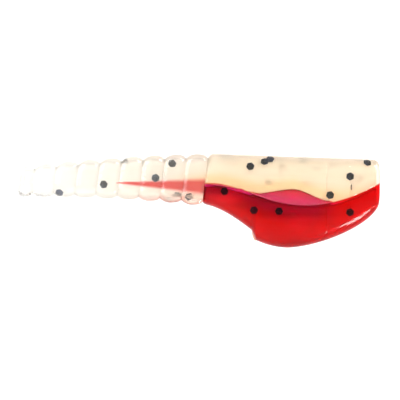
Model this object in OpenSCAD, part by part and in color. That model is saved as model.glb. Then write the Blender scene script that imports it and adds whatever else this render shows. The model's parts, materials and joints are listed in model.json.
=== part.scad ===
// Ribbed soft plastic panfish bait: an ivory back moulded over a red belly, with glitter flakes
// inside and a tail of nine beads. The flat nose is at the origin and faces +X, the tail runs
// along -X, the back is up (+Z) and the width is along Y.

/* [Fore body] */
// Length of the fore body, from the nose face to the first groove
fore_l = 24.45; // [23.5:0.05:26]
// Height of the back over the nose centre, at the shoulder beside the first groove
shoulder_z = 4.06; // [3.9:0.02:4.4]
// Height of the back just behind the nose corner
brow_z = 3.27; // [3:0.02:3.6]
// Depth of the flat nose below its centre
chin_z = 3.14; // [2.8:0.02:3.4]
// Depth of the belly at its lowest point
keel_z = 9.25; // [8:0.05:10]
// Distance of the lowest point behind the nose
keel_x = 12.66; // [11:0.05:13.5]
// Half of the body's width at its widest
body_hw = 3.2; // [2.9:0.05:3.6]
// Half of the body's width at the nose
nose_hw = 2.85; // [2.5:0.05:3.2]

/* [Seam between the two colours] */
// Depth of the seam at the middle of the belly
seam_z = 3.25; // [2.8:0.05:3.4]
// Height that the seam rises at each end
seam_rise = 3.0; // [2.4:0.05:3.05]
// Clearance between the two castings
cast_gap = 0.03; // [0.02:0.01:0.05]

/* [Tail] */
// Distance between two grooves
rib_pitch = 3.02; // [2.9:0.02:3.2]
// Length of the last bead, past its groove
tip_l = 2.1; // [1.9:0.05:2.6]
// Height of the last bead over the axis
tip_top = 2.37; // [2.1:0.02:2.5]
// Depth of the last bead below the axis
tip_bottom = 2.05; // [1.9:0.02:2.3]
// Half of the last bead's width
tip_hw = 1.9; // [1.6:0.05:2.2]
// Height of the first bead over the axis
root_top = 3.95; // [3.7:0.02:4]
// Depth of the first bead below the axis
root_bottom = 3.17; // [2.8:0.02:3.2]
// Half of the first bead's width
root_hw = 2.9; // [2.6:0.05:3]
// Lean of the beads: how far the top stands ahead of the axis for each millimetre of height
slant = 0.12; // [0:0.01:0.14]
// Size of the web at the bottom of a groove, as a share of the bead
web_share = 0.82; // [0.76:0.01:0.84]
// Thickness of the web
web_t = 0.14; // [0.1:0.01:0.16]
// Bend of one groove, each way, in degrees
bend = 12; // [6:1:12]

/* [Red streak in the tail] */
// Distance of its point from the nose
streak_end = 36.8; // [36.5:0.1:38]
// Half of its height at the first groove
streak_r = 0.9; // [0.6:0.05:1]
// Its width, as a multiple of its height
streak_w = 2.3; // [1:0.1:2.4]

/* [Glitter] */
// Width of a hexagonal flake across its flats
flake_w = 1.016; // [0.8:0.01:1.1]
// Thickness of a flake
flake_t = 0.1; // [0.06:0.01:0.12]

/* [Hidden] */
RIBS = 9;
STREAKED = [6:9];
SPECKLED = [3, 5, 6, 7, 8, 9];

IVORY = "antiquewhite";
RED = "crimson";
BLACK = "#15151c";

nose_round = 0.75;
heel_x = 17.3;
heel_z = 8.12;
heel_step = 0.55;
heel_top = 6.7;
neck_z = 3.1;
rear_l = 1.5;
face_gap = web_t / 2 + 0.05;
face_slope = tan(bend + 2);
rim = 0.22;
rim_share = 0.94;
point_share = 0.03;
tail_n = [3, 2.2];
body_n = [3.6, 3.2];
RING = 24;
ARC = 22;
ARCH = 10;

// ---- outlines of the fore body, each a function of the distance d behind the nose ----

function clamp01(t) = min(1, max(0, t));

// Height of the back: a straight line with a rounded corner at each end
function back_at(d) =
    let (
        line = brow_z + (shoulder_z - brow_z) * (d - 1.1) / (fore_l - 2),
        front = nose_round * (1 - sqrt(1 - pow(1 - clamp01(d / nose_round), 2))),
        rear = 0.8 * (1 - sqrt(1 - pow(1 - clamp01((fore_l - d) / 0.9), 2)))
    )
    line - front - rear;

// Depth of the underside: a full curve from the chin to the lowest point, a flat rise to the
// heel, a short step, and a hollow curve up to the first groove
function under_at(d) =
    d <= keel_x
        ? chin_z + (keel_z - chin_z) * pow(1 - pow((keel_x - d) / keel_x, 1.55), 1 / 1.55)
        : d <= heel_x
            ? keel_z - (keel_z - heel_z) * pow((d - keel_x) / (heel_x - keel_x), 2)
            : d <= heel_x + heel_step
                ? heel_z - (heel_z - heel_top) * (d - heel_x) / heel_step
                : neck_z + (heel_top - neck_z)
                    * pow((fore_l - d) / (fore_l - heel_x - heel_step), 1.6);

// Half width in plan
function width_at(d) =
    let (
        mid = nose_hw + (body_hw - nose_hw) * sin(90 * clamp01(d / 9)),
        rear = (body_hw - root_hw) * clamp01((d - 14) / (fore_l - 14)),
        corner = 0.35 * (1 - sqrt(1 - pow(1 - clamp01(d / nose_round), 2)))
    )
    mid - rear - corner;

// Height of the seam, which sags like a smile and is level near the first groove
function seam_at(d) =
    d < 19.3
        ? -seam_z + seam_rise * pow(abs(d - 10.4) / 10.2, 1.9)
        : -0.95 + 0.75 * (d - 19.3) / (fore_l - 19.3);

// Height of the red casting's hidden crest, which stands over the seam inside the ivory: a hump
// over the middle of the belly and a rise towards the tail
CREST = [
    [0, -9], [6.6, -2.5], [7.7, -2.35], [9.1, -1.8], [10.5, -1.1], [11.9, -0.7], [13.5, -0.84],
    [15.4, -1.15], [17, -1.4], [18.8, -1.1], [20.9, -0.42], [22.7, 0], [25, -0.1]
];
function crest_at(d) =
    max(
        seam_at(d) + 0.12,
        lookup(d, CREST)
    );

// ---- sections and lofts ----

function power(v, e) = sign(v) * pow(abs(v), e);

// A point of a rounded section at angle a: hw is its half width, up and down its two heights
function round_point(a, hw, up, down, n) =
    let (e = 2 / (a % 360 < 180 ? n[0] : n[1]))
    [hw * power(cos(a), e), (a % 360 < 180 ? up : down) * power(sin(a), e)];

// The angle at which that section has height z
function angle_of(z, up, down, n) =
    z >= 0 ? asin(pow(z / up, n[0] / 2)) : -asin(pow(-z / down, n[1] / 2));

// A solid through sections that all have the same number of points. A closed one joins its
// last section to its first, as a tube's wall does; any other one has flat ends.
module loft(sections, closed = false) {
    rings = len(sections);
    count = len(sections[0]);
    polyhedron(
        points = [for (s = sections) for (p = s) p],
        faces = concat(
            closed ? [] : [[for (i = [0:count - 1]) i]],
            [
                for (r = [0:closed ? rings - 1 : rings - 2])
                    for (i = [0:count - 1])
                        let (j = (i + 1) % count, next = (r + 1) % rings)
                        each [
                            [r * count + j, r * count + i, next * count + i],
                            [r * count + j, next * count + i, next * count + j]
                        ]
            ],
            closed ? [] : [[for (i = [0:count - 1]) rings * count - 1 - i]]
        )
    );
}

// ---- fore body ----

BODY_D = concat(
    [0, 0.12, 0.35, nose_round],
    [for (d = [1.4:1.2:16.2]) d],
    [heel_x, heel_x + heel_step],
    [for (d = [18.9:1.2:22.5]) d],
    [fore_l - rear_l, fore_l - 0.8, fore_l - 0.4, fore_l - face_gap]
);

// Where a point of the fore body's section at d lies: towards the first groove the sections lean
// as the beads do, and the rear face is an upright ridge that falls away to both sides
function body_point(d, p) =
    let (
        leaning = clamp01((d - heel_x) / (fore_l - heel_x)),
        ridged = clamp01((d - fore_l + rear_l) / (rear_l - face_gap))
    )
    [-d + slant * leaning * p[1] + face_slope * ridged * abs(p[0]), p[0], p[1]];

// Points of the crest's arch over the seam, from the right to the left
function arch(d, grow, base) =
    let (hw = 0.72 * width_at(d) + grow, rise = crest_at(d) + grow - base)
    [for (i = [0:ARCH]) let (a = 180 * i / ARCH) [hw * cos(a), base + rise * sin(a)]];

// The ivory section: over the back from one end of the seam to the other, then under the arch
function back_section(d) =
    let (
        up = back_at(d),
        down = under_at(d),
        a0 = angle_of(seam_at(d), up, down, body_n),
        over = [
            for (i = [0:ARC])
                round_point(a0 + (180 - 2 * a0) * i / ARC + 360, width_at(d), up, down, body_n)
        ],
        hollow = arch(d, cast_gap, seam_at(d) + cast_gap)
    )
    [
        for (p = concat(over, [for (i = [0:ARCH]) hollow[ARCH - i]]))
            body_point(d, p)
    ];

// The red section: under the belly from one end of the seam to the other, then over the crest
function belly_section(d) =
    let (
        up = back_at(d),
        down = under_at(d),
        a0 = angle_of(seam_at(d) - cast_gap, up, down, body_n),
        below = [
            for (i = [0:ARC])
                round_point(180 - a0 + (180 + 2 * a0) * i / ARC, width_at(d), up, down, body_n)
        ]
    )
    [for (p = concat(below, arch(d, -cast_gap, seam_at(d)))) body_point(d, p)];

module fore_body() {
    color(IVORY)
        difference() {
            loft([for (d = BODY_D) back_section(d)]);
            flakes(BACK_FLAKES);
        }
}

module belly() {
    color(RED)
        difference() {
            loft([for (d = BODY_D) belly_section(d)]);
            flakes(BELLY_FLAKES);
        }
}

// ---- tail ----

// How far bead k is along the tail, from 0 at the tip to 1 at the fore body
function along(k) = (k - 1) / (RIBS - 1);

function rib_top(k) = root_top - (root_top - tip_top) * pow(1 - along(k), 1.6);
function rib_bottom(k) = tip_bottom + (root_bottom - tip_bottom) * pow(along(k), 2.2);
function rib_hw(k) = tip_hw + (root_hw - tip_hw) * along(k);

// Distance behind the nose of the groove ahead of bead k
function groove(k) = fore_l + (RIBS - k) * rib_pitch;

// A point of a bead's ring, at a distance d behind the nose. The whole ring leans.
function lean(d, p) = [-d + slant * p[1], p[0], p[1]];

function rib_points(k, share) = [
    for (i = [0:RING - 1])
        share * round_point(360 * i / RING, rib_hw(k), rib_top(k), rib_bottom(k), tail_n)
];

// A ring on the front face of bead k, which is a ridge across the bait: it falls away above and
// below, so that the groove can bend up and down
function front_ring(k, points, back = 0) =
    [for (p = points) lean(groove(k) + face_gap + back + face_slope * abs(p[1]), p)];

// A ring on the rear face, which is an upright ridge: it falls away to both sides, so that the
// groove behind it can bend sideways
function rear_ring(k, points, back = 0) =
    [for (p = points) lean(groove(k - 1) - face_gap - back - face_slope * abs(p[0]), p)];

// A flat ring of the last bead, whose end is rounded
function tip_ring(back, share) = [for (p = rib_points(1, share)) lean(groove(1) + tip_l - back, p)];

// The rings of a bead's rim, from the front to the rear
function rim_rings(k) = concat(
    [
        front_ring(k, rib_points(k, rim_share)),
        front_ring(k, rib_points(k, 1), rim)
    ],
    k > 1
        ? [rear_ring(k, rib_points(k, 1), rim), rear_ring(k, rib_points(k, rim_share))]
        : [tip_ring(0.8, 1), tip_ring(0.25, 0.86), tip_ring(0, 0.55)]
);

// A bead without a streak is closed by a small face on each of its two ridges
module plain_bead(k) {
    loft(
        concat(
            [front_ring(k, rib_points(k, point_share))],
            rim_rings(k),
            k > 1 ? [rear_ring(k, rib_points(k, point_share))] : []
        )
    );
}

// A bead round the streak has a hole along its middle
module bored_bead(k) {
    loft(
        concat(
            [front_ring(k, streak_points(groove(k), cast_gap, RING))],
            rim_rings(k),
            [rear_ring(k, streak_points(groove(k - 1), cast_gap, RING))]
        ),
        closed = true
    );
}

module rib(k) {
    color(IVORY)
        difference() {
            if (k >= STREAKED[0]) bored_bead(k);
            else plain_bead(k);
            flakes(RIB_FLAKES[k]);
        }
}

// The web of plastic that joins two beads at the bottom of a groove
module web(k) {
    points = rib_points(k, web_share);
    color(IVORY)
        loft([for (side = [-1, 1]) [for (p = points) lean(groove(k) + side * web_t / 2, p)]]);
}

// ---- red streak ----

// The streak's size at a distance d behind the nose, from 1 at the fore body to 0 at its point
function streak_share(d) = (streak_end - d) / (streak_end - fore_l);

// Points round the streak
function streak_points(d, grow, count) =
    let (r = streak_r * streak_share(d), drop = 0.7 * r)
    [
        for (i = [0:count - 1])
            let (a = 360 * i / count)
            [(r * streak_w + grow) * cos(a), (r + grow) * sin(a) - drop]
    ];

// The streak's piece in bead k, with flat ends just inside the bead's faces
module streak(k) {
    ends = [
        groove(k) + face_gap + face_slope * 1.8 * streak_r,
        groove(k - 1) - face_gap - face_slope * 1.05 * streak_r * streak_w
    ];
    color(RED)
        loft([for (d = ends) [for (p = streak_points(d, 0, RING / 2)) lean(d, p)]]);
}

// ---- glitter ----

// Each flake is [distance behind the nose, across, height, turn, lean, tip]: where its centre is,
// its turn in its own plane, and how far that plane leans away from the side of the bait
module flakes(list) {
    for (f = list)
        translate([-f[0], f[1], f[2]])
            rotate([90 + f[4], 0, f[5]])
                rotate([0, 0, f[3]])
                    cylinder(h = flake_t, d = flake_w / cos(30), center = true, $fn = 6);
}

BACK_FLAKES = [
    [18.1, -2.64, 2.2, 10, -22, 0], [16.1, -2.45, 2.85, 20, -42, 0], [15.3, -1.9, 3.15, 0, -46, 0],
    [10.8, -1.5, 2.7, 15, -65, 20], [8.9, -1.8, 1.9, 5, -62, 20], [15.6, -1.7, 0, 0, 10, 10],
    [4.2, -2.85, 0.8, 25, -5, 0], [3.9, -2.2, -0.7, 0, 0, 75], [1.7, -1.8, 2.65, 10, -50, 20],
    [7, -2.96, -1.8, 12, 3, 0], [13.4, 2.83, 1.8, 5, 18, 0], [6.2, 2.67, 2, 18, 28, 0],
    [10.1, 3.01, -0.2, 8, 0, 0], [20.5, 2.52, 2.3, 3, 28, 0], [2.6, 2.76, 0.5, 20, 5, 0],
    [12.3, 0.2, 3.1, 14, -85, 0], [21.4, -0.6, 3.1, 9, -75, 10]
];
BELLY_FLAKES = [
    [21.7, -2.73, -1.25, 10, 6, 0], [4.2, -2.63, -4.2, 20, 16, 0], [17.6, -2.7, -3.9, 5, 14, 0],
    [16.1, -2.15, -4.3, 15, 15, 15], [14.1, -2.87, -4.05, 0, 10, 0], [18.9, 2.69, -2.9, 12, -14, 0],
    [12, 2.82, -4.6, 18, -12, 0], [7.4, 2.79, -4.2, 7, -14, 0], [9.8, 2.51, -6.3, 2, -24, 0]
];
// One list for each bead, counted from the tip; the first entry is unused
RIB_FLAKES = [
    [],
    [],
    [],
    [[44.85, -1.4, -1.4, 12, 35, 0]],
    [],
    [[38.6, -2.05, -0.3, 8, 3, 0]],
    [[35.6, -0.3, 2.6, 0, -78, 15]],
    [[31.35, -2.2, 0.6, 20, 2, 15]],
    [[29, -2.05, 2.6, 6, -28, 10], [28.45, -1.5, -1.7, 0, 65, 10], [29.3, -0.6, -2.45, 8, 82, 0]],
    [[26.55, -1.8, -2, 10, 38, 0]]
];

module glitter(list) {
    color(BLACK) flakes(list);
}

fore_body();
belly();
glitter(BACK_FLAKES);  // glitter_back
glitter(BELLY_FLAKES);  // glitter_belly
for (k = [1:RIBS]) rib(k);
for (k = [1:RIBS]) web(k);
for (k = STREAKED) streak(k);
for (k = SPECKLED) glitter(RIB_FLAKES[k]);
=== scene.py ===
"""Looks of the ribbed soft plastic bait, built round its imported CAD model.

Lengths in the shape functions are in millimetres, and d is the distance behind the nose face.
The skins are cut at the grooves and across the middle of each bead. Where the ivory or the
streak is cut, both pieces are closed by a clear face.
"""

import json
import math

import bpy
import numpy as np
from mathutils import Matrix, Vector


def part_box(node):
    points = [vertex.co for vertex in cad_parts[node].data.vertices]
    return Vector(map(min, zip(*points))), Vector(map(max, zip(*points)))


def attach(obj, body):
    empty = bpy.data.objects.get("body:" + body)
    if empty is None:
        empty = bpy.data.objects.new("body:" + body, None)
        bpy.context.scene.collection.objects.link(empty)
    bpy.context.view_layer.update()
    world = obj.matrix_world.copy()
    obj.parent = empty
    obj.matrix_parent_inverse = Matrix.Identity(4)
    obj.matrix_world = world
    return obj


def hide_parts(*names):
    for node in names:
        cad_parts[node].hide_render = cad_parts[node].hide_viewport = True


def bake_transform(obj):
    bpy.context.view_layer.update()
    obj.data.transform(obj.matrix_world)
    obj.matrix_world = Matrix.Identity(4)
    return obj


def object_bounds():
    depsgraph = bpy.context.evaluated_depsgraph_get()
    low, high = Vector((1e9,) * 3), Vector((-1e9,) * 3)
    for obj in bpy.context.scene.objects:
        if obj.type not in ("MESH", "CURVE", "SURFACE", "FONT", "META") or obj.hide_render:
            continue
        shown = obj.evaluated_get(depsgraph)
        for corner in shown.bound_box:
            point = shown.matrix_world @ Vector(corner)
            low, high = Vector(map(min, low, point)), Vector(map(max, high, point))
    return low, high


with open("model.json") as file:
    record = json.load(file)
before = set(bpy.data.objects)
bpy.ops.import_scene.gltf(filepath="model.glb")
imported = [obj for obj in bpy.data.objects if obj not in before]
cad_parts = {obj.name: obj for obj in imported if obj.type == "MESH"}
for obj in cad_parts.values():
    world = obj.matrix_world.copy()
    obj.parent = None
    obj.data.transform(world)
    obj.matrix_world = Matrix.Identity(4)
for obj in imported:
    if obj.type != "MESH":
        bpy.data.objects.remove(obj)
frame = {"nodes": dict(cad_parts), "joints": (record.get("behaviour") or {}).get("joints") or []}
cad_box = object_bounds()

MM = 0.001
RIBS = 9
STREAKED = (9, 8, 7, 6)

# How far each groove leans towards the nose, for its height.
SLANT = 0.12

# ---- places taken from the CAD model ----


def groove_place(k):
    """Distance of groove k behind the nose, from its joint."""
    joint = next(j for j in frame["joints"] if j["name"] == f"groove_{k}_sway")
    return -joint["pos_m"][0] / MM


def span(node, axis):
    """Lowest and highest coordinate of a CAD node along an axis, in millimetres."""
    low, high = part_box(node)
    return low[axis] / MM, high[axis] / MM


GROOVE = {k: groove_place(k) for k in range(1, RIBS + 1)}
FORE = GROOVE[RIBS]
PITCH = GROOVE[RIBS - 1] - GROOVE[RIBS]
HALF = PITCH / 2
BODY_HW = span("fore_body", 1)[1]
KEEL_Z = -span("belly", 2)[0]

# ---- places and sizes of what the outlines share ----

# The keel is the belly's lowest place. Behind the heel the belly steps up to the neck.
KEEL = 12.66
HEEL = 17.3
NECK = 17.85
HEEL_Z = 8.12

# How far the skin's ends are rounded at the nose and at the first groove.
NOSE_ROUND = 0.75
REAR_ROUND = 0.9

# Faint upright marks of the mould on the sides.
MARKS = (4.2, 7.4)

# Length of the last bead, and of its front part, where the groove opens out.
TIP = 2.1
TIP_FRONT = 1.0

# Radius of the beads' upper edges.
BEAD_ROUND = 1.15

# Thickness of the clear skin round the milky middle, in the fore body and in the tail.
SKIN = 0.52
TAIL_SKIN = 0.8

# Points from the seam to the middle of the belly.
BELOW = 44

# ---- outlines of the fore body, the same as the CAD model's ----


def clamp01(t):
    return min(1.0, max(0.0, t))


def smooth(t):
    t = clamp01(t)
    return t * t * (3 - 2 * t)


def rounding(t):
    """How far a round corner falls away, from 1 at its edge to 0."""
    return 1 - math.sqrt(1 - (1 - clamp01(t)) ** 2)


def back_at(d):
    """Height of the back over the axis."""
    line = 3.27 + 0.79 * (d - 1.1) / (FORE - 2)
    return line - 0.75 * rounding(d / NOSE_ROUND) - 0.8 * rounding((FORE - d) / REAR_ROUND)


def under_at(d):
    """Depth of the underside: from nose to keel, from keel to heel, in the step and in the neck."""
    nose, neck, rear, bow = 3.14, 6.7, 3.1, 1.55
    if d <= KEEL:
        return nose + (KEEL_Z - nose) * (1 - ((KEEL - d) / KEEL) ** bow) ** (1 / bow)
    if d <= HEEL:
        return KEEL_Z - (KEEL_Z - HEEL_Z) * ((d - KEEL) / (HEEL - KEEL)) ** 2
    if d <= NECK:
        return HEEL_Z - (HEEL_Z - neck) * (d - HEEL) / (NECK - HEEL)
    return rear + (neck - rear) * (max(0.0, FORE - d) / (FORE - NECK)) ** 1.6


def width_at(d):
    """Half width, which grows behind the nose and shrinks again from behind the keel on."""
    nose, rear, widest, waning = 2.85, 2.9, 9, 14
    middle = nose + (BODY_HW - nose) * math.sin(math.pi / 2 * clamp01(d / widest))
    marks = sum(0.03 * math.exp(-(((d - at) / 0.07) ** 2)) for at in MARKS)
    taper = (BODY_HW - rear) * clamp01((d - waning) / (FORE - waning))
    return middle - taper - 0.35 * rounding(d / NOSE_ROUND) - marks


def seam_at(d):
    """Height of the line on the side where the ivory casting meets the red one."""
    lowest, straight = 10.4, 19.3
    if d < straight:
        return -3.25 + 3.0 * (abs(d - lowest) / 10.2) ** 1.9
    return -0.95 + 0.75 * (d - straight) / (FORE - straight)


def crest_at(d):
    """Height of the red casting's crest, which stands over the seam inside the ivory."""
    places = (0, 6.6, 7.7, 9.1, 10.5, 11.9, 13.5, 15.4, 17, 18.8, 20.9, 22.7, 25)
    heights = (-9, -2.5, -2.35, -1.8, -1.1, -0.7, -0.84, -1.15, -1.4, -1.1, -0.42, 0, -0.1)
    near = [float(np.interp(d + step, places, heights)) for step in (-0.5, 0, 0.5)]
    return max(seam_at(d) + 0.12, sum(near) / 3)


def leaning(d):
    """How far the sections lean: none up to the heel, then more, up to the grooves' lean."""
    return SLANT * clamp01((d - HEEL) / (FORE - HEEL))


def streak_half(d, end):
    """Half the streak's height at d, when its point is at end. d is a number or an array."""
    return 0.03 + 0.85 * np.clip((end - d) / (end - FORE), 0, 1)


# ---- sections ----


def body_half(d, count=400):
    """Half of the fore body's section, from the middle of the back to the middle of the belly."""
    up, down, hw = back_at(d), under_at(d), width_at(d)
    end = smooth((d - FORE + REAR_ROUND) / REAR_ROUND)
    hw -= 0.34 * rounding((FORE - d) / REAR_ROUND)
    down -= 0.4 * end * rounding((FORE - d) / REAR_ROUND)
    a = np.linspace(math.pi / 2, -math.pi / 2, count)
    n = np.where(a >= 0, 3.6, 3.2)
    y = hw * np.abs(np.cos(a)) ** (2 / n)
    z = np.where(a >= 0, up, down) * np.sign(np.sin(a)) * np.abs(np.sin(a)) ** (2 / n)
    return np.stack([y, z], 1)


def spaced(line, count, crowd=1.0):
    """The line again as count points, closer together towards its end where crowd is over 1."""
    steps = np.linalg.norm(np.diff(line, axis=0), axis=1)
    run = np.concatenate([[0], np.cumsum(steps)])
    at = (1 - (1 - np.linspace(0, 1, count)) ** crowd) * run[-1]
    return np.stack([np.interp(at, run, line[:, i]) for i in (0, 1)], 1)


def cut_at(half, z):
    """The half section above height z and the one below, which both have the point at z."""
    over = half[half[:, 1] > z]
    under = half[half[:, 1] <= z]
    a, b = over[-1], under[0]
    t = (a[1] - z) / max(1e-9, a[1] - b[1])
    edge = a + (b - a) * t
    return np.vstack([over, edge]), np.vstack([edge, under])


def seam_groove(line, z):
    """The line pulled in a little where the seam runs."""
    depth = 0.05 * np.exp(-(((line[:, 1] - z) / 0.07) ** 2))
    return np.stack([line[:, 0] - depth, line[:, 1]], 1)


def mirrored(half):
    """A half line and its mirror image: from the mirror's far end over the middle and back."""
    return np.vstack([half[::-1], half[1:] * (-1, 1)])


def ivory_ring(d):
    """The ivory's section, from the seam on the right over the back to the seam on the left."""
    over, _ = cut_at(body_half(d), seam_at(d))
    return mirrored(seam_groove(spaced(over, 48, 1.5), seam_at(d)))


def red_ring(d):
    """The red casting's section: under the belly from left to right, then over the crest."""
    z = seam_at(d)
    _, under = cut_at(body_half(d), z)
    half = seam_groove(spaced(under[::-1], BELOW, 1.5), z)
    below = mirrored(half)[::-1]
    a = np.linspace(0, math.pi, 40)[1:-1]
    rise, hw = crest_at(d) - z, half[-1, 0]
    reach = hw - min(0.3, 0.5 * rise)
    wide = np.sign(np.cos(a)) * np.abs(np.cos(a)) ** 0.5
    rim = (hw - reach) * np.abs(wide) ** 8
    over = np.stack([(reach + rim) * wide, z + rise * np.sin(a) ** 0.7], 1)
    return np.vstack([below, over])


def shrunk(ring, by):
    """The section drawn in by about that distance on every side."""
    low, high = ring.min(0), ring.max(0)
    middle, half = (low + high) / 2, (high - low) / 2
    return middle + (ring - middle) * np.maximum(half - by, 0.25 * half) / half


def milk_ring(d):
    """The section of the milky middle of the ivory, which stands on the crest."""
    floor = crest_at(d) - 0.22
    over, _ = cut_at(body_half(d), floor)
    ring = mirrored(spaced(over, 36, 1.3))
    foot = ring[0, 1]
    ring = shrunk(ring, SKIN)
    lift = ring[0, 1] - foot
    share = (ring[:, 1].max() - ring[:, 1]) / (ring[:, 1].max() - ring[0, 1])
    ring[:, 1] -= lift * share
    return ring


def red_heart_ring(d):
    """The section of the denser middle of the red casting."""
    return shrunk(red_ring(d), SKIN)


def bead_share(k):
    """0 for the last bead, which is the smallest, and 1 for the first one behind the neck."""
    return (k - 1) / (RIBS - 1)


def bead_size(k):
    """Height over the axis, depth below it, half width, and height of the side's lower edge."""
    t = bead_share(k)
    top = 3.95 - 1.58 * (1 - t) ** 1.6
    bottom = 2.05 + 1.12 * t**2.2
    side_edge = -0.64 - 2.2 * t**1.45
    return top, bottom, 1.9 + t, side_edge


def corner(a, b, c, radius, count):
    """Points of a round corner at b, which takes at most half of the lines to a and to c."""
    u, v = a - b, c - b
    reach_u = min(radius, 0.49 * np.linalg.norm(u)) / np.linalg.norm(u)
    reach_v = min(radius, 0.49 * np.linalg.norm(v)) / np.linalg.norm(v)
    p, q = b + u * reach_u, b + v * reach_v
    t = np.linspace(0, 1, count)[:, None]
    return (1 - t) ** 2 * p + 2 * t * (1 - t) * b + t**2 * q


def bead_ring(k, fullness):
    """A bead's section. fullness is 0 at the bottom of a groove and 1 across the middle."""
    top, bottom, hw, side_edge = bead_size(k)
    top_depth, bottom_depth, side_depth, edge_rise = 0.62, 0.46, 0.34, 0.42
    less = 1 - fullness
    top, bottom, hw = top - top_depth * less, bottom - bottom_depth * less, hw - side_depth * less
    side_edge += edge_rise * less
    foot_hw = hw * (0.5 + 0.38 * bead_share(k))
    places = [(0, top), (hw, top), (hw, side_edge), (foot_hw, -bottom), (0, -bottom)]
    ridge, shoulder, edge, foot, sole = (np.array(place, float) for place in places)
    half = np.vstack(
        [
            ridge,
            corner(ridge, shoulder, edge, BEAD_ROUND, 14),
            (hw, (top - BEAD_ROUND + side_edge) / 2),
            corner(shoulder, edge, foot, 0.24, 7),
            corner(edge, foot, sole, 0.5, 9),
            sole,
        ]
    )
    return mirrored(spaced(half, 44))[:-1]


def streak_ring(d, end):
    """A flat oval section of the red streak, which thins out to its point at end."""
    r = streak_half(d, end)
    a = np.linspace(0, 2 * math.pi, 32, endpoint=False)
    wave = 1 + 0.06 * math.sin(d * 2.1) * (end - d) / (end - FORE)
    return np.stack([2.2 * r * np.cos(a), wave * r * np.sin(a) - 0.66 * r - 0.03], 1)


# ---- meshes ----


def placed(ring, d, lean):
    """The section's points in the frame, in metres."""
    x = -d + lean * ring[:, 1]
    return np.stack([x, ring[:, 0], ring[:, 1]], 1) * MM


def shell(stations, ring_at, lean_at, slot, caps, strip_slot=None, strip_from=-1):
    """One closed surface through the sections: its points, faces and material numbers.

    caps are the materials of the first and last face. Where strip_slot is given, it is the
    material of the strips from point number strip_from on: the crest of the red, or only the
    last strip, which closes the open section of the ivory.
    """
    rings = [placed(ring_at(d), d, lean_at(d)) for d in stations]
    count, last = len(rings[0]), (len(rings) - 1) * len(rings[0])
    plain = count if strip_slot is None else strip_from % count
    faces, slots = [list(range(count))[::-1]], [caps[0]]
    for r in range(len(rings) - 1):
        a, b = r * count, (r + 1) * count
        for i in range(count):
            j = (i + 1) % count
            faces.append([a + i, a + j, b + j, b + i])
            slots.append(slot if i < plain else strip_slot)
    faces.append([last + i for i in range(count)])
    slots.append(caps[1])
    return np.vstack(rings), faces, slots


def new_object(name, mesh):
    """An object of the mesh, in the scene."""
    obj = bpy.data.objects.new(name, mesh)
    bpy.context.scene.collection.objects.link(obj)
    return obj


def loft(name, shells, materials):
    """One mesh object of one or more closed surfaces, with flat caps and sharp cap edges."""
    points, faces, slots, flat = [], [], [], []
    for co, shell_faces, shell_slots in shells:
        first = sum(len(p) for p in points)
        points.append(co)
        order = 1 if faces_out(co, shell_faces) else -1
        faces += [[first + i for i in f][::order] for f in shell_faces]
        slots += shell_slots
        flat += [True] + [False] * (len(shell_faces) - 2) + [True]
    mesh = bpy.data.meshes.new(name)
    mesh.from_pydata([tuple(p) for p in np.vstack(points)], [], faces)
    mesh.polygons.foreach_set("material_index", slots)
    mesh.polygons.foreach_set("use_smooth", [not f for f in flat])
    for m in materials:
        mesh.materials.append(m)
    sharpen(mesh, flat)
    return new_object(name, mesh)


def sharpen(mesh, flat):
    """Makes the edges of the flat faces sharp."""
    keys = {frozenset(k) for p, f in zip(mesh.polygons, flat) if f for k in p.edge_keys}
    for edge in mesh.edges:
        edge.use_edge_sharp = frozenset(edge.vertices) in keys


def faces_out(co, faces):
    """Whether the surface's four-sided faces look away from its middle, by their volume."""
    quads = co[np.array([f for f in faces if len(f) == 4])] - co.mean(0)
    p, q, r, t = (quads[:, i] for i in range(4))
    return float(np.sum(p * (np.cross(q, r) + np.cross(r, t)))) > 0


def paint(obj, tone):
    """Stores each point's colour, and its place at rest so that textures don't slide."""
    mesh = obj.data
    co = np.array([v.co for v in mesh.vertices]) / MM
    rest = mesh.attributes.new("rest", "FLOAT_VECTOR", "POINT")
    rest.data.foreach_set("vector", co.astype(np.float32).ravel())
    colours = np.ones((len(co), 4), np.float32)
    colours[:, :3] = tone(co)
    made = mesh.color_attributes.new("tone", "FLOAT_COLOR", "POINT")
    made.data.foreach_set("color", colours.ravel())


# ---- colours over the surface, as functions of the place at rest in millimetres ----

CREAM, PALE_CREAM, TIP_WHITE = (0.925, 0.86, 0.74), (0.95, 0.91, 0.83), (0.965, 0.95, 0.92)
# The two warm colours are painted light, for light that the red scatters into the ivory; the grey
# one is painted shade along the top edge.
PAINTED_WARM_GLOW, PAINTED_UNDER_GLOW, PAINTED_TOP_SHADE = (0.98, 0.70, 0.36), (0.97, 0.55, 0.42), (0.89, 0.83, 0.80)
STREAK_RED = (0.95, 0.035, 0.015)
# The darker red is painted shade for the keel's rounded underside, which turns away from the light.
CLEAR_RED, SHADED_RED, MAGENTA = (0.74, 0.003, 0.003), (0.56, 0.002, 0.003), (0.50, 0.006, 0.10)
NECK_PINK, PATCH_PINK, CREST_ORANGE = (0.92, 0.07, 0.10), (0.80, 0.05, 0.09), (0.95, 0.30, 0.14)
FLASH_PEACH = (0.95, 0.55, 0.35)

# Where the red shade beside the streak has its point, a little behind the streak's own.
SHADE_POINT = 37


def mix(a, b, t):
    """Colour a where t is 0 and colour b where it is 1, for an array of t."""
    t = np.clip(t, 0, 1)[:, None]
    return np.asarray(a) * (1 - t) + np.asarray(b) * t


def bump_at(value, middle, reach):
    """1 where value is at the middle, fading smoothly over the reach on both sides."""
    return np.exp(-(((value - middle) / reach) ** 2))


def streak_shade(co):
    """How much the streak colours the milky middle of the tail beside it."""
    d, y, z = -co[:, 0], np.abs(co[:, 1]), co[:, 2]
    half = streak_half(d, SHADE_POINT)
    near = np.clip(1.9 - 1.2 * np.abs(z + 0.66 * half + 0.03) / half, 0, 1)
    inside = y < 2.3 - (d - FORE) / 24.2
    return near * inside * (d > FORE) * (d < SHADE_POINT - 0.1)


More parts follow.
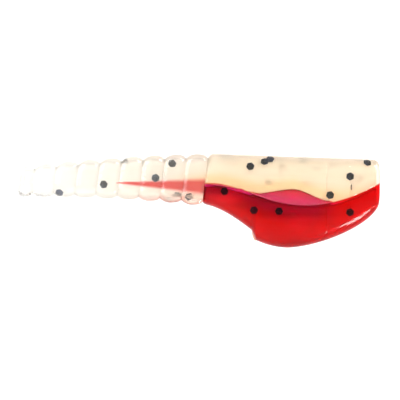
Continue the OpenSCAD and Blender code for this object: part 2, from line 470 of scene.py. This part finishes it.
def ivory_tone(co):
    """Cream that clears towards the tip, with painted warm light over the red and under the streak,
    and painted shade along the top.
    """
    d, z = -co[:, 0], co[:, 2]
    colour = mix(CREAM, PALE_CREAM, (d - 20) / 8)
    colour = mix(colour, TIP_WHITE, (d - 30) / 16)
    places, heights = (0, 5, 8, 12, 17, 22, 25, 37), (-0.6, -2.3, -2, -0.7, -1.2, 0, 0, -0.1)
    red_top = np.interp(d, places, heights)
    # Painted light: warm colour just over the red, for light that the red scatters into the ivory.
    painted_glow = bump_at(z, red_top + 0.3, 0.9) * np.clip((30 - d) / 6, 0, 1) * np.clip(d / 6, 0.3, 1)
    colour = mix(colour, PAINTED_WARM_GLOW, 0.45 * painted_glow)
    # Painted light: orange pink in the tail under the streak, for light that the red scatters into
    # the milky middle.
    under = bump_at(z, -2.2, 1.0) * np.clip((31 - d) / 4, 0, 1) * (d > FORE)
    colour = mix(colour, PAINTED_UNDER_GLOW, 0.3 * under)
    colour = mix(colour, STREAK_RED, 0.97 * streak_shade(co))
    # Painted shade: greyer along the top edge, up to 31 mm behind the nose, where the rounded back
    # turns away from the light.
    top = np.array([back_at(min(v, FORE)) for v in d])
    return mix(colour, PAINTED_TOP_SHADE, 0.5 * np.clip((z - top + 0.75) / 0.5, 0, 1) * (d < 31))


def red_tone(co):
    """Clear red at the ends and milky magenta near the seam and in the middle, with painted shade
    low on the keel.
    """
    d, z = -co[:, 0], co[:, 2]
    # Painted shade: darker red low on the keel, where the rounded underside turns away from the
    # light.
    keel_shade = bump_at(d, 11, 5) * np.clip((-z - 6.5) / 2.5, 0, 1)
    colour = mix(CLEAR_RED, SHADED_RED, 0.8 * keel_shade)
    seam = np.array([seam_at(v) for v in d])
    milky = np.clip(1.4 - np.abs(z - seam + 0.2) / 2.0, 0, 1) * np.clip((d - 5) / 4, 0, 1)
    milky *= d < FORE
    colour = mix(colour, MAGENTA, 0.9 * milky)
    neck = bump_at(d, 21.5, 2.2) * bump_at(z, -2.2, 1.0)
    colour = mix(colour, NECK_PINK, 0.6 * neck)
    patch = bump_at(d, 11.3, 2.2) * bump_at(z, -5.9, 1.4)
    colour = mix(colour, PATCH_PINK, 0.45 * patch)
    crest = np.array([crest_at(v) for v in d])
    rim = np.clip((z - crest + 0.3) / 0.2, 0, 1) * (d < FORE)
    return mix(colour, CREST_ORANGE, 0.8 * rim)


def flash_tone(co):
    """One colour for the whole fin, as it is too thin to vary."""
    return np.tile(FLASH_PEACH, (len(co), 1))


# ---- materials ----


def new_material(name):
    """A material with its node tree's nodes, links and shader."""
    material = bpy.data.materials.new(name)
    material.use_nodes = True
    nodes, links = material.node_tree.nodes, material.node_tree.links
    return material, nodes, links, nodes["Principled BSDF"]


def place_node(nodes, painted):
    """The texture place: the stored one on painted pieces, the object's own on the others."""
    if painted:
        node = nodes.new("ShaderNodeAttribute")
        node.attribute_name = "rest"
        return node.outputs["Vector"]
    node = nodes.new("ShaderNodeTexCoord")
    return node.outputs["Object"]


def noise(nodes, links, place, scale, detail, roughness=0.55):
    """Noise from 0 to 1, mostly near the middle."""
    node = nodes.new("ShaderNodeTexNoise")
    node.inputs["Scale"].default_value = scale
    node.inputs["Detail"].default_value = detail
    node.inputs["Roughness"].default_value = roughness
    links.new(place, node.inputs["Vector"])
    return node.outputs["Fac"]


def ranged(nodes, links, value, low, high, start=0.3, end=0.7):
    """low where the value is at start, high where it is at end."""
    node = nodes.new("ShaderNodeMapRange")
    node.inputs["From Min"].default_value = start
    node.inputs["From Max"].default_value = end
    node.inputs["To Min"].default_value = low
    node.inputs["To Max"].default_value = high
    links.new(value, node.inputs["Value"])
    return node.outputs["Result"]


def mottled(nodes, links, colour, value, darker):
    """The colour, multiplied by a slightly darker one where value is high."""
    node = nodes.new("ShaderNodeMix")
    node.data_type = "RGBA"
    node.blend_type = "MULTIPLY"
    links.new(value, node.inputs["Factor"])
    links.new(colour, node.inputs["A"])
    node.inputs["B"].default_value = (*darker, 1)
    return node.outputs["Result"]


def two_colours(nodes, links, value, low, high, start, end):
    """Colour low up to where the value is at start, and colour high from end on."""
    node = nodes.new("ShaderNodeValToRGB")
    for stop, colour, place in zip(node.color_ramp.elements, (low, high), (start, end)):
        stop.position = place
        stop.color = (*colour, 1)
    links.new(value, node.inputs["Fac"])
    return node.outputs["Color"]


def bumped(nodes, links, shader, heights):
    """Puts bumps on the shader's normal. Each of heights is (value, strength, distance)."""
    normal = None
    for value, strength, distance in heights:
        node = nodes.new("ShaderNodeBump")
        node.inputs["Strength"].default_value = strength
        node.inputs["Distance"].default_value = distance
        links.new(value, node.inputs["Height"])
        if normal is not None:
            links.new(normal, node.inputs["Normal"])
        normal = node.outputs["Normal"]
    links.new(normal, shader.inputs["Normal"])


def soft_plastic(name, clear, rough, darker, ior, coat, specular):
    """Plastisol with flow mottling, and where it is coated, a faint mould texture.

    clear is the share of light that passes, rough the range of roughness, and darker the colour
    that multiplies the tone in the mottling's dark places.
    """
    material, nodes, links, shader = new_material(name)
    tone = nodes.new("ShaderNodeAttribute")
    tone.attribute_name = "tone"
    place = place_node(nodes, painted=True)
    drawn = nodes.new("ShaderNodeMapping")
    drawn.inputs["Scale"].default_value = (0.12, 1.0, 1.6)
    links.new(place, drawn.inputs["Vector"])
    clouds = noise(nodes, links, drawn.outputs["Vector"], 0.9, 5)
    fine = noise(nodes, links, place, 5.5, 3)
    grain = noise(nodes, links, place, 22, 2)
    veil = ranged(nodes, links, clouds, 0, 0.5)
    colour = mottled(nodes, links, tone.outputs["Color"], veil, darker)
    links.new(colour, shader.inputs["Base Color"])
    links.new(ranged(nodes, links, fine, *rough), shader.inputs["Roughness"])
    shader.inputs["Transmission Weight"].default_value = clear
    shader.inputs["IOR"].default_value = ior
    shader.inputs["Coat Weight"].default_value = coat
    shader.inputs["Coat Roughness"].default_value = 0.04
    shader.inputs["Specular IOR Level"].default_value = specular
    heights = [(clouds, 0.25, 0.0002)]
    if coat:
        heights += [(fine, 0.06, 0.00004), (grain, 0.05, 0.00001)]
    bumped(nodes, links, shader, heights)
    return material


def clear_join():
    """The fully clear face that closes a piece where the next one carries on."""
    material, _, _, shader = new_material("clear_join")
    shader.inputs["Alpha"].default_value = 0.0
    return material


def glitter_film():
    """Thin glossy film: blue black with a few lighter flakes and fine scratches."""
    material, nodes, links, shader = new_material("glitter_film")
    place = place_node(nodes, painted=False)
    broad = noise(nodes, links, place, 420, 1)
    scratch = noise(nodes, links, place, 9000, 4, 0.7)
    black, blue = (0.002, 0.002, 0.003), (0.02, 0.03, 0.07)
    colour = two_colours(nodes, links, broad, black, blue, 0.42, 0.66)
    links.new(colour, shader.inputs["Base Color"])
    links.new(ranged(nodes, links, scratch, 0.22, 0.42), shader.inputs["Roughness"])
    shader.inputs["Metallic"].default_value = 0.15
    shader.inputs["Specular IOR Level"].default_value = 0.2
    bumped(nodes, links, shader, [(scratch, 0.2, 0.00001)])
    return material


# ---- pieces ----

# A piece's material 0 is its skin, 1 its middle, and 2 the clear face or, on the red, the crest.
# The streak has no middle, so its clear face is material 1.


def bend(obj, ahead, behind, d0, d1):
    """Bakes the piece's transform into its mesh. ahead, behind, d0 and d1 are not used."""
    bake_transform(obj)


def fullness_at(s):
    """A bead's fullness at a distance s from the groove."""
    return math.sqrt(max(0.0, 1 - (1 - clamp01(s / HALF)) ** 2.5))


def half_stations(start, end, count=16):
    """Stations from a groove at start to the middle of a bead at end, closer at the groove."""
    return [start + (end - start) * (i / count) ** 1.8 for i in range(count + 1)]


def body_stations():
    """Stations of the fore body, closer at its ends, at the mould's marks and at the heel."""
    nose = [0, 0.02, 0.06, 0.12, 0.2, 0.3, 0.42, 0.57, NOSE_ROUND]
    run = [d for d in np.arange(0.95, 17.2, 0.22) if min(abs(d - at) for at in MARKS) > 0.16]
    marks = [at + step for at in MARKS for step in (-0.13, -0.08, -0.04, 0, 0.04, 0.08, 0.13)]
    heel = [17.26, HEEL, 17.34, 17.45, 17.6, 17.75, NECK, 17.9]
    neck = list(np.arange(18.1, FORE - 0.95, 0.2))
    rear = [FORE - REAR_ROUND * (1 - i / 12) ** 1.8 for i in range(12)]
    return sorted(nose + run + marks + heel + neck + rear + [FORE])


def inner_stations(stations, first, last):
    """The stations between two places, and the places themselves at the ends."""
    return [first] + [d for d in stations if first + 0.01 < d < last - 0.01] + [last]


def make_ivory_back(look):
    """The ivory of the fore body: a clear skin round a milky middle that stands on the crest."""
    stations = body_stations()
    skin = shell(stations, ivory_ring, leaning, 0, (0, 2), 2)
    heart = shell(inner_stations(stations, SKIN, FORE), milk_ring, leaning, 1, (1, 2))
    materials = [look["ivory_skin"], look["ivory_milk"], look["clear_join"]]
    obj = loft("ivory_back", [skin, heart], materials)
    paint(obj, ivory_tone)
    bend(obj, "fore_body", "web_9", FORE - HALF, FORE)
    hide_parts("fore_body")


def make_red_belly(look):
    """The red casting with its crest, round a denser middle."""
    stations = body_stations()
    skin = shell(stations, red_ring, leaning, 0, (0, 2), 2, 2 * BELOW - 2)
    inner = inner_stations(stations, SKIN, FORE - 0.3)
    heart = shell(inner, red_heart_ring, leaning, 1, (1, 1))
    materials = [look["red_skin"], look["red_heart"], look["red_crest"]]
    obj = loft("red_belly", [skin, heart], materials)
    paint(obj, red_tone)
    bend(obj, "fore_body", "web_9", FORE - HALF, FORE)
    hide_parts("belly")


def bead_piece(name, stations, ring_at, look, ends_open, bodies, d0, d1):
    """A clear skin round a milky middle. ends_open says which ends carry on in the next piece."""
    first, last = stations[0], stations[-1]
    caps = [2 if is_open else 0 for is_open in ends_open]
    heart_caps = [2 if is_open else 1 for is_open in ends_open]
    inner = stations if ends_open[1] else inner_stations(stations, first, last - TAIL_SKIN)
    skin = shell(stations, ring_at, lambda d: SLANT, 0, caps)
    heart = shell(inner, lambda d: shrunk(ring_at(d), TAIL_SKIN), lambda d: SLANT, 1, heart_caps)
    obj = loft(name, [skin, heart], [look["tail_skin"], look["tail_milk"], look["clear_join"]])
    paint(obj, ivory_tone)
    bend(obj, *bodies, d0, d1)
    return obj


def tip_ring(d):
    """A section of the last bead, whose end is rounded and a little lower than its middle."""
    past_groove = (d - GROOVE[1]) / TIP_FRONT
    to_end = clamp01((d - GROOVE[1] - TIP_FRONT) / (TIP - TIP_FRONT))
    share = 0.16 + 0.84 * (1 - to_end**2.6) ** (1 / 2.2)
    return bead_ring(1, fullness_at(past_groove * HALF)) * share - (0, 0.55 * (1 - share))


def make_last_bead(look):
    """Bead 1 in one piece, which ends in the tip."""
    start, middle = GROOVE[1], GROOVE[1] + TIP_FRONT
    stations = half_stations(start, middle)
    stations += [middle + (TIP - TIP_FRONT) * math.sin(i * math.pi / 32) for i in range(1, 17)]
    bodies = ("web_1", "rib_1")
    obj = bead_piece("bead_1", stations, tip_ring, look, (True, False), bodies, start, middle)
    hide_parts("web_1", "rib_1")


def make_bead_front(k, look):
    """The half of bead k behind its groove."""
    start = GROOVE[k]
    stations = half_stations(start, start + HALF)
    bodies = (f"web_{k}", f"rib_{k}")

    def ring(d):
        return bead_ring(k, fullness_at(d - start))

    ends = (True, True)
    obj = bead_piece(f"bead_{k}_front", stations, ring, look, ends, bodies, start, start + HALF)
    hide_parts(f"web_{k}", f"rib_{k}")


def make_bead_rear(k, look):
    """The half of bead k ahead of the next groove, where it takes the next bead's section."""
    end = GROOVE[k - 1]
    stations = half_stations(end, end - HALF)[::-1]
    bodies = (f"rib_{k}", f"web_{k - 1}")

    def ring(d):
        full = fullness_at(end - d)
        share = smooth((d - end + HALF) / HALF)
        return bead_ring(k, full) * (1 - share) + bead_ring(k - 1, full) * share

    ends = (True, True)
    obj = bead_piece(f"bead_{k}_rear", stations, ring, look, ends, bodies, end - HALF, end)
    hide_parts(f"rib_{k}")


def make_flash(name, d0, d1, reach, count, look):
    """A thin ragged fin along the mould's joint, from d0 to d1 under the belly.

    It reaches out of the surface by up to reach, and its root is sunk into the plastic.
    """
    random = np.random.default_rng(count)
    surface = np.array([(-d, -under_at(d)) for d in np.linspace(d0, d1, count)])
    along = np.gradient(surface, axis=0)
    out = np.stack([-along[:, 1], along[:, 0]], 1)
    out /= np.linalg.norm(out, axis=1)[:, None]
    swell = np.sin(np.linspace(0.25, math.pi - 0.25, count))
    ragged = reach * random.uniform(0.25, 1, count) * swell
    root, edge = surface - 0.15 * out, surface + ragged[:, None] * out
    points, faces = [], []
    for (ax, az), (bx, bz) in zip(root, edge):
        points += [(ax, 0.07, az), (bx, 0.03, bz), (bx, -0.03, bz), (ax, -0.07, az)]
    for i in range(0, 4 * (count - 1), 4):
        faces += [(i + j, i + (j + 1) % 4, i + 4 + (j + 1) % 4, i + 4 + j) for j in range(4)]
    faces += [(3, 2, 1, 0), tuple(4 * (count - 1) + j for j in range(4))]
    mesh = bpy.data.meshes.new(name)
    mesh.from_pydata([(x * MM, y * MM, z * MM) for x, y, z in points], [], faces)
    mesh.materials.append(look["flash"])
    obj = new_object(name, mesh)
    paint(obj, flash_tone)
    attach(obj, "fore_body")


def make_streak(k, look):
    """The streak in bead k, in two halves. In the last of these beads it runs out to a point."""
    point = GROOVE[STREAKED[-1] - 1] - 0.02
    middle, end = GROOVE[k] + HALF, min(GROOVE[k - 1], point)
    halves = (
        ("front", GROOVE[k], middle, (f"web_{k}", f"rib_{k}")),
        ("rear", middle, end, (f"rib_{k}", f"web_{k - 1}")),
    )
    for side, d0, d1, bodies in halves:
        tail = 0 if d1 == point else 1
        stations = list(np.linspace(d0, d1, 12))
        body = shell(stations, lambda d: streak_ring(d, point), lambda d: SLANT, 0, (1, tail))
        obj = loft(f"streak_{k}_{side}", [body], [look["red_streak"], look["clear_join"]])
        paint(obj, red_tone)
        bend(obj, *bodies, d0, d1)
        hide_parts(f"streak_{k}")


def dress_glitter(material):
    """The CAD flakes have the right shape, so they stay and get the film material."""
    for name, obj in frame["nodes"].items():
        if name.startswith("glitter"):
            obj.data.materials.clear()
            obj.data.materials.append(material)


# ---- stage, light and camera ----


def make_floor():
    """A wide pale disc well below the bait. Its sizes are in metres."""
    rings, parts, widest, drop = 24, 64, 1.3, 0.3
    points, faces = [(0, 0, 0)], []
    for r in range(1, rings + 1):
        radius = widest * (r / rings) ** 1.5
        for i in range(parts):
            a = 2 * math.pi * i / parts
            points.append((radius * math.cos(a), radius * math.sin(a), 0))
    for i in range(parts):
        faces.append((0, 1 + i, 1 + (i + 1) % parts))
    for r in range(rings - 1):
        for i in range(parts):
            j = (i + 1) % parts
            a, b = 1 + r * parts, 1 + (r + 1) * parts
            faces.append((a + i, b + i, b + j, a + j))
    mesh = bpy.data.meshes.new("floor")
    mesh.from_pydata(points, [], faces)
    material, nodes, links, shader = new_material("pale_floor")
    place = place_node(nodes, painted=False)
    speck = noise(nodes, links, place, 40, 3)
    colour = two_colours(nodes, links, speck, (0.90, 0.90, 0.90), (0.95, 0.95, 0.95), 0, 1)
    links.new(colour, shader.inputs["Base Color"])
    shader.inputs["Roughness"].default_value = 0.9
    shader.inputs["Emission Color"].default_value = (1, 1, 1, 1)
    shader.inputs["Emission Strength"].default_value = 0.2
    mesh.materials.append(material)
    floor = new_object("floor", mesh)
    floor.location.z = -drop


def make_world():
    """Pale behind the bait and darker towards the camera and overhead, as in a light tent."""
    world = bpy.data.worlds.new("studio")
    world.use_nodes = True
    nodes, links = world.node_tree.nodes, world.node_tree.links
    place = nodes.new("ShaderNodeTexCoord")
    split = nodes.new("ShaderNodeSeparateXYZ")
    links.new(place.outputs["Generated"], split.inputs["Vector"])
    depth = ranged(nodes, links, split.outputs["Y"], 0.55, 1.35, -0.7, 0.4)
    height = ranged(nodes, links, split.outputs["Z"], 1.0, 0.7, 0.3, 0.95)
    both = nodes.new("ShaderNodeMath")
    both.operation = "MULTIPLY"
    links.new(depth, both.inputs[0])
    links.new(height, both.inputs[1])
    background = nodes["Background"]
    background.inputs["Color"].default_value = (1, 1, 1, 1)
    links.new(both.outputs["Value"], background.inputs["Strength"])
    bpy.context.scene.world = world


def make_light(name, direction, distance, size, radiance):
    """A soft light that looks at the middle of the bait. Its distance and size are in metres."""
    data = bpy.data.lights.new(name, "AREA")
    data.shape = "RECTANGLE"
    data.size, data.size_y = size
    data.energy = radiance * math.pi * size[0] * size[1]
    light = new_object(name, data)
    centre = (cad_box[0] + cad_box[1]) / 2
    away = np.array(direction) / np.linalg.norm(direction)
    light.location = [centre[i] + distance * away[i] for i in range(3)]
    back = light.location - centre
    light.rotation_euler = back.to_track_quat("Z", "Y").to_euler()


def make_camera():
    """Straight from the side, from far enough for little perspective.

    The picture is as wide as view_width where it cuts the bait's near side.
    """
    view_width, near_side, right, up = 55.83, 2.6, 0.3, 0.1
    data = bpy.data.cameras.new("camera")
    data.lens = 135
    data.sensor_width = 36
    data.clip_start, data.clip_end = 0.01, 20
    centre = (cad_box[0] + cad_box[1]) / 2
    away = (view_width * data.lens / data.sensor_width + near_side) * MM
    camera = new_object("camera", data)
    camera.location = (centre.x + right * MM, -away, centre.z + up * MM)
    camera.rotation_euler = (math.pi / 2, 0, 0)
    bpy.context.scene.camera = camera


def looks():
    """Every material of the bait, by its name."""
    plastics = (
        # name, clear, rough, darker, ior, coat, specular
        ("ivory_skin", 0.98, (0.03, 0.07), (0.97, 0.93, 0.88), 1.27, 0.1, 0.3),
        ("ivory_milk", 0.43, (0.3, 0.4), (0.96, 0.92, 0.86), 1.10, 0, 0.1),
        ("tail_skin", 0.94, (0.06, 0.12), (0.96, 0.93, 0.89), 1.42, 0.15, 0.3),
        ("tail_milk", 0.70, (0.3, 0.4), (0.97, 0.95, 0.91), 1.08, 0, 0.1),
        ("red_skin", 0.99, (0.03, 0.07), (0.9, 0.7, 0.8), 1.20, 0.03, 0.2),
        ("red_heart", 0.45, (0.3, 0.4), (0.85, 0.5, 0.6), 1.10, 0, 0.05),
        ("red_crest", 0.10, (0.5, 0.6), (0.85, 0.6, 0.8), 1.06, 0, 0.05),
        ("red_streak", 0.9, (0.2, 0.3), (0.98, 0.8, 0.8), 1.03, 0, 0.05),
        ("flash", 0.6, (0.2, 0.4), (0.8, 0.4, 0.3), 1.3, 0.1, 0.3),
    )
    look = {plastic[0]: soft_plastic(*plastic) for plastic in plastics}
    look["clear_join"] = clear_join()
    return look


def make_bait():
    look = looks()
    make_ivory_back(look)
    make_red_belly(look)
    make_flash("heel_flash", HEEL - 0.15, NECK, reach=0.22, count=14, look=look)
    make_flash("neck_flash", 18.2, 23.6, reach=0.10, count=40, look=look)
    for k in range(RIBS, 1, -1):
        make_bead_front(k, look)
        make_bead_rear(k, look)
    make_last_bead(look)
    for k in STREAKED:
        make_streak(k, look)
    dress_glitter(glitter_film())


make_camera()
make_bait()
make_floor()
make_world()
make_light("key", (0.6, -0.6, 0.65), distance=0.45, size=(0.2, 0.2), radiance=17)
make_light("low_rim", (0.6, -0.45, -0.75), distance=0.3, size=(0.10, 0.05), radiance=60)
make_light("fill", (-0.8, -0.7, 0.45), distance=0.6, size=(0.4, 0.4), radiance=7)
bpy.context.scene.view_settings.view_transform = "Standard"
